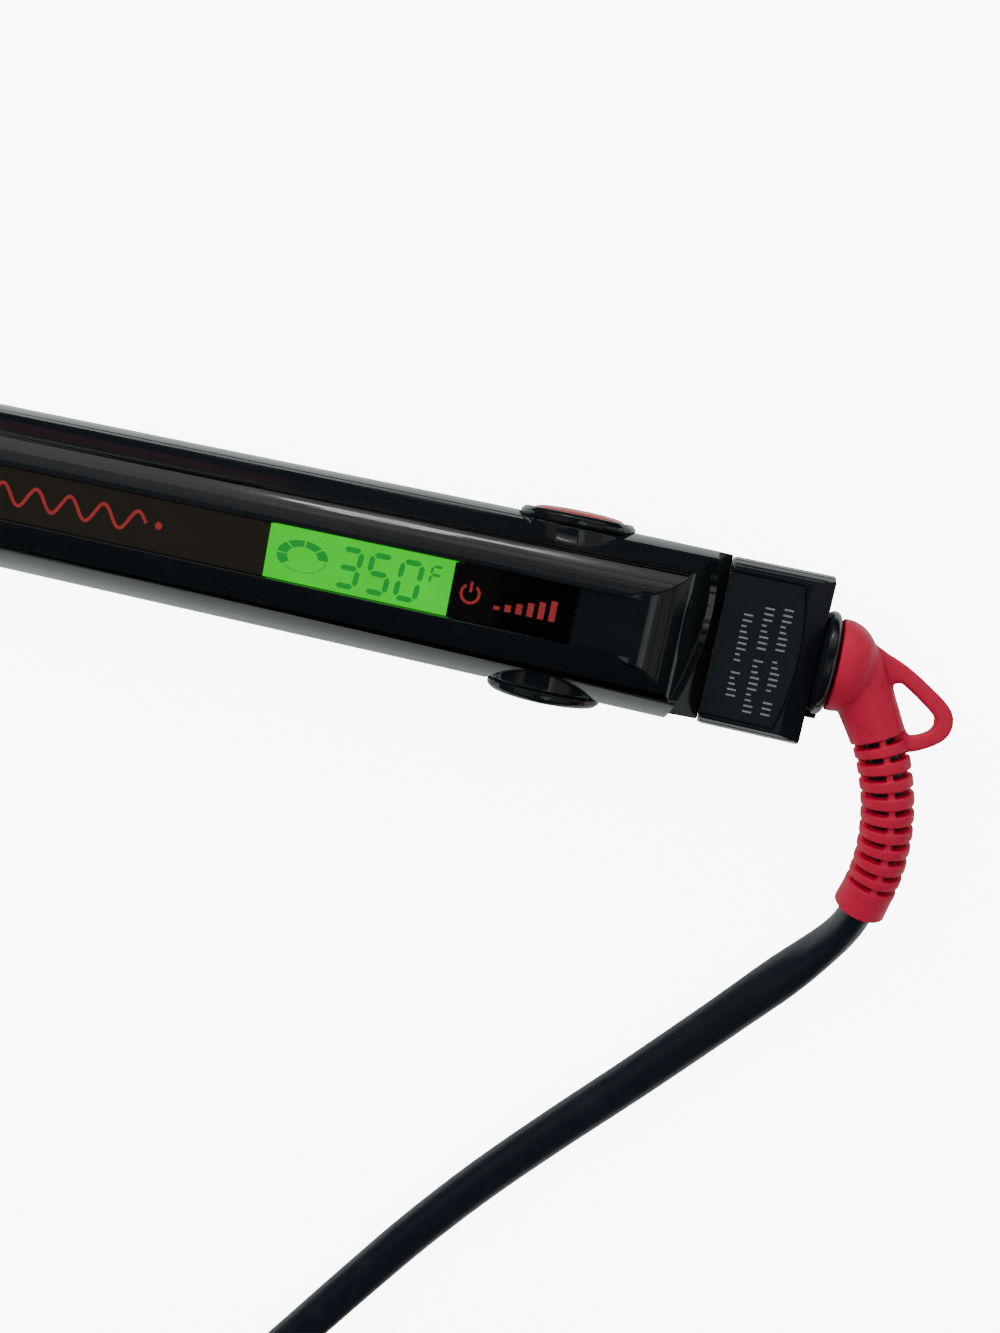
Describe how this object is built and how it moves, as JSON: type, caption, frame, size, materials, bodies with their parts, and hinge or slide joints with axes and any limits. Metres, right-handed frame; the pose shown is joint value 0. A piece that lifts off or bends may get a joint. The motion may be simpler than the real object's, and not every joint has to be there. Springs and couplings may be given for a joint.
{
  "type": "curling iron",
  "caption": "Tail-hinged curling iron with a round grip, lit display strip, round barrel under a sprung clamp arm, swivelling tail boot and a coiled flat cord.",
  "frame": {"origin": "centre of the flat along the back of the grip, where the iron rests on a table", "axes": "+X along the grip towards the cord, -X towards the barrel tip, +Z out of the display face, +Y towards hinge cap 1, which is the upper cap in the picture"},
  "size_m": [0.3964, 0.3356, 0.033],
  "materials": {
    "gloss_black": "piano-black gloss ABS, lightly scuffed",
    "lens_smoke": "smoked brown-black clear strip, high gloss",
    "display_green": "backlit green liquid crystal panel",
    "cap_red": "satin red moulded dome",
    "boot_red": "soft matt red thermoplastic rubber",
    "cord_black": "black flexible vinyl with a soft sheen",
    "barrel_coating": "charcoal ceramic coating, satin",
    "steel": "plain zinc-plated or bright steel",
    "brass": "bright brass contacts",
    "board_green": "green solder mask on fibreglass",
    "heat_white": "off-white heat-resistant moulding or sleeve",
    "aluminium": "extruded aluminium"
  },
  "bodies": {
    "lower_arm": {"lower_handle_shell": "gloss_black", "lower_inner_cover": "gloss_black", "handle_screw_1": "steel", "handle_screw_2": "steel", "hinge_pin": "steel", "hinge_bezel_1": "gloss_black", "hinge_bezel_2": "gloss_black", "hinge_cap_1": "cap_red", "hinge_cap_2": "cap_red", "arm_spring": "steel", "barrel_collar": "gloss_black", "barrel_tube": "barrel_coating", "barrel_tip": "gloss_black", "tip_screw": "steel", "heater_holder_1": "aluminium", "heater_holder_2": "aluminium", "ptc_heater": "heat_white", "temperature_sensor": "heat_white", "thermal_fuse": "steel", "power_board": "board_green", "power_triac": "gloss_black", "mains_lead_1": "cord_black", "mains_lead_2": "cord_black", "heater_lead_1": "heat_white", "heater_lead_2": "heat_white", "end_block_front": "gloss_black", "end_block_back": "gloss_black", "block_screw_1": "steel", "block_screw_2": "steel", "swivel_collar": "gloss_black", "contact_brush_1": "brass", "contact_brush_2": "brass"},
    "upper_arm": {"upper_handle_shell": "gloss_black", "upper_inner_cover": "gloss_black", "display_lens": "lens_smoke", "display_panel": "display_green", "control_board": "board_green", "cover_screw_1": "steel", "cover_screw_2": "steel", "clamp_plate": "barrel_coating", "clamp_carrier": "gloss_black", "clamp_rivet_1": "steel", "clamp_rivet_2": "steel", "power_switch": "gloss_black", "minus_switch": "gloss_black", "plus_switch": "gloss_black"},
    "power_key": {"power_key": "cap_red"},
    "minus_key": {"minus_key": "cap_red"},
    "plus_key": {"plus_key": "cap_red"},
    "cord_swivel": {"swivel_hub": "heat_white", "contact_ring_1": "brass", "contact_ring_2": "brass", "cord_boot": "boot_red", "cord_tube": "cord_black", "cord_coil": "cord_black", "cord_lead": "cord_black", "plug_body": "cord_black", "plug_blade_1": "brass", "plug_blade_2": "brass"}
  },
  "joints": [
    {"name": "arm_hinge", "type": "hinge", "parent": "lower_arm", "child": "upper_arm", "pos_m": [0.0536, 0, 0.016], "axis": [0, 1, 0], "range_deg": [0, 12], "stiffness_Nm_per_rad": 1.2, "springref_deg": 14.9},
    {"name": "cord_swivel_turn", "type": "hinge", "parent": "lower_arm", "child": "cord_swivel", "pos_m": [0.1036, 0, 0.016], "axis": [-1, 0, 0], "continuous": true},
    {"name": "power_press", "type": "slide", "parent": "upper_arm", "child": "power_key", "axis": [0, 0, -1], "range_m": [0, 0.0006], "stiffness_N_per_m": 600},
    {"name": "minus_press", "type": "slide", "parent": "upper_arm", "child": "minus_key", "axis": [0, 0, -1], "range_m": [0, 0.0006], "stiffness_N_per_m": 600},
    {"name": "plus_press", "type": "slide", "parent": "upper_arm", "child": "plus_key", "axis": [0, 0, -1], "range_m": [0, 0.0006], "stiffness_N_per_m": 600}
  ]
}
